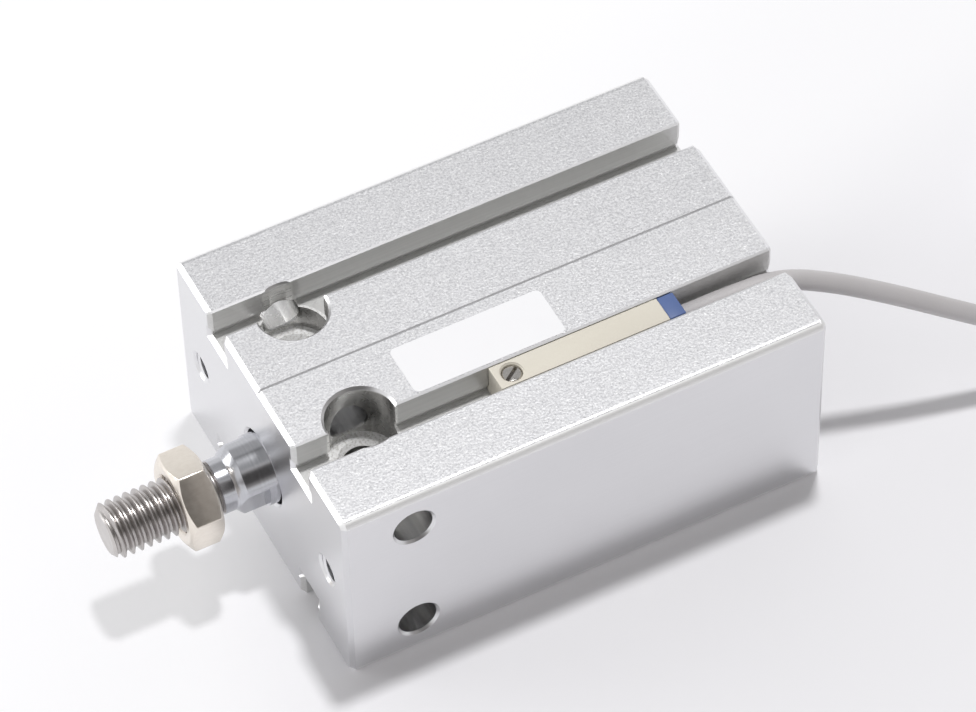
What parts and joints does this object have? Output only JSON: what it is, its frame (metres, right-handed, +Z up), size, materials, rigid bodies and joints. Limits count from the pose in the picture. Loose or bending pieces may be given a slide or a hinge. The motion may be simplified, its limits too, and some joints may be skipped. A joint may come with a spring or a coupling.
{
  "type": "compact block air cylinder",
  "caption": "Rectangular free-mount air cylinder with a magnetic piston, threaded rod end with nut, counterbored fixing holes and a position switch with its lead in a slot.",
  "frame": {"origin": "centre of the front face, on the rod's axis, midway between the two tapped holes", "axes": "+X along the rod, the way it comes out; +Y the narrow side without ports; +Z up, through the wide face that carries the label"},
  "size_m": [0.176, 0.054, 0.0321],
  "materials": {
    "anodised_body": "fine blasted and clear anodised",
    "cover_metal": "turned, clear anodised",
    "spring_steel": "phosphated spring steel",
    "bush_bronze": "sintered bronze",
    "seal_rubber": "matte black",
    "bumper_rubber": "matte dark grey",
    "rod_steel": "hard chromed and polished",
    "nut_steel": "nickel plated",
    "piston_metal": "turned",
    "magnet": "bonded ferrite",
    "wear_ring_plastic": "filled resin",
    "plain_steel": "bright zinc",
    "switch_ivory": "satin moulded",
    "switch_blue": "satin moulded",
    "board": "glass-fibre board",
    "reed_glass": "clear capsule",
    "label_film": "white film, bare",
    "lead_jacket": "warm grey vinyl",
    "tie_nylon": "natural nylon",
    "core_brown": "brown insulation",
    "core_blue": "blue insulation"
  },
  "bodies": {
    "cylinder": {"cylinder_body": "anodised_body", "rear_cover": "cover_metal", "rear_cover_oring": "seal_rubber", "retaining_ring": "spring_steel", "rod_bush": "bush_bronze", "rod_seal": "seal_rubber", "label": "label_film", "switch_lead": "lead_jacket", "lead_coil": "lead_jacket", "coil_tie": "tie_nylon", "lead_core_brown": "core_brown", "lead_core_blue": "core_blue"},
    "piston_rings": {"piston_seal": "seal_rubber", "wear_ring": "wear_ring_plastic"},
    "rod": {"piston_rod": "rod_steel", "piston_front": "piston_metal", "piston_rear": "piston_metal", "piston_magnet": "magnet", "front_bumper": "bumper_rubber", "rear_bumper": "bumper_rubber", "piston_oring": "seal_rubber", "piston_nut": "plain_steel"},
    "rod_nut": {"rod_nut": "nut_steel"},
    "switch": {"switch_housing": "switch_ivory", "switch_end_band": "switch_blue", "switch_board": "board", "reed_switch": "reed_glass"},
    "switch_screw": {"switch_screw": "plain_steel"}
  },
  "joints": [
    {"name": "rod_slide", "type": "slide", "parent": "cylinder", "child": "piston_rings", "axis": [1, 0, 0], "range_m": [0, 0.02]},
    {"name": "rod_spin", "type": "hinge", "parent": "piston_rings", "child": "rod", "pos_m": [0, 0, 0], "axis": [1, 0, 0], "continuous": true},
    {"name": "nut_spin", "type": "hinge", "parent": "rod", "child": "rod_nut", "pos_m": [0.0107, 0, 0], "axis": [1, 0, 0], "continuous": true},
    {"name": "switch_slide", "type": "slide", "parent": "cylinder", "child": "switch", "axis": [1, 0, 0], "range_m": [0, 0.02]},
    {"name": "switch_screw_turn", "type": "hinge", "parent": "switch", "child": "switch_screw", "pos_m": [-0.0306, 0.0125, 0.013], "axis": [0, 0, 1], "range_deg": [0, 360]}
  ]
}
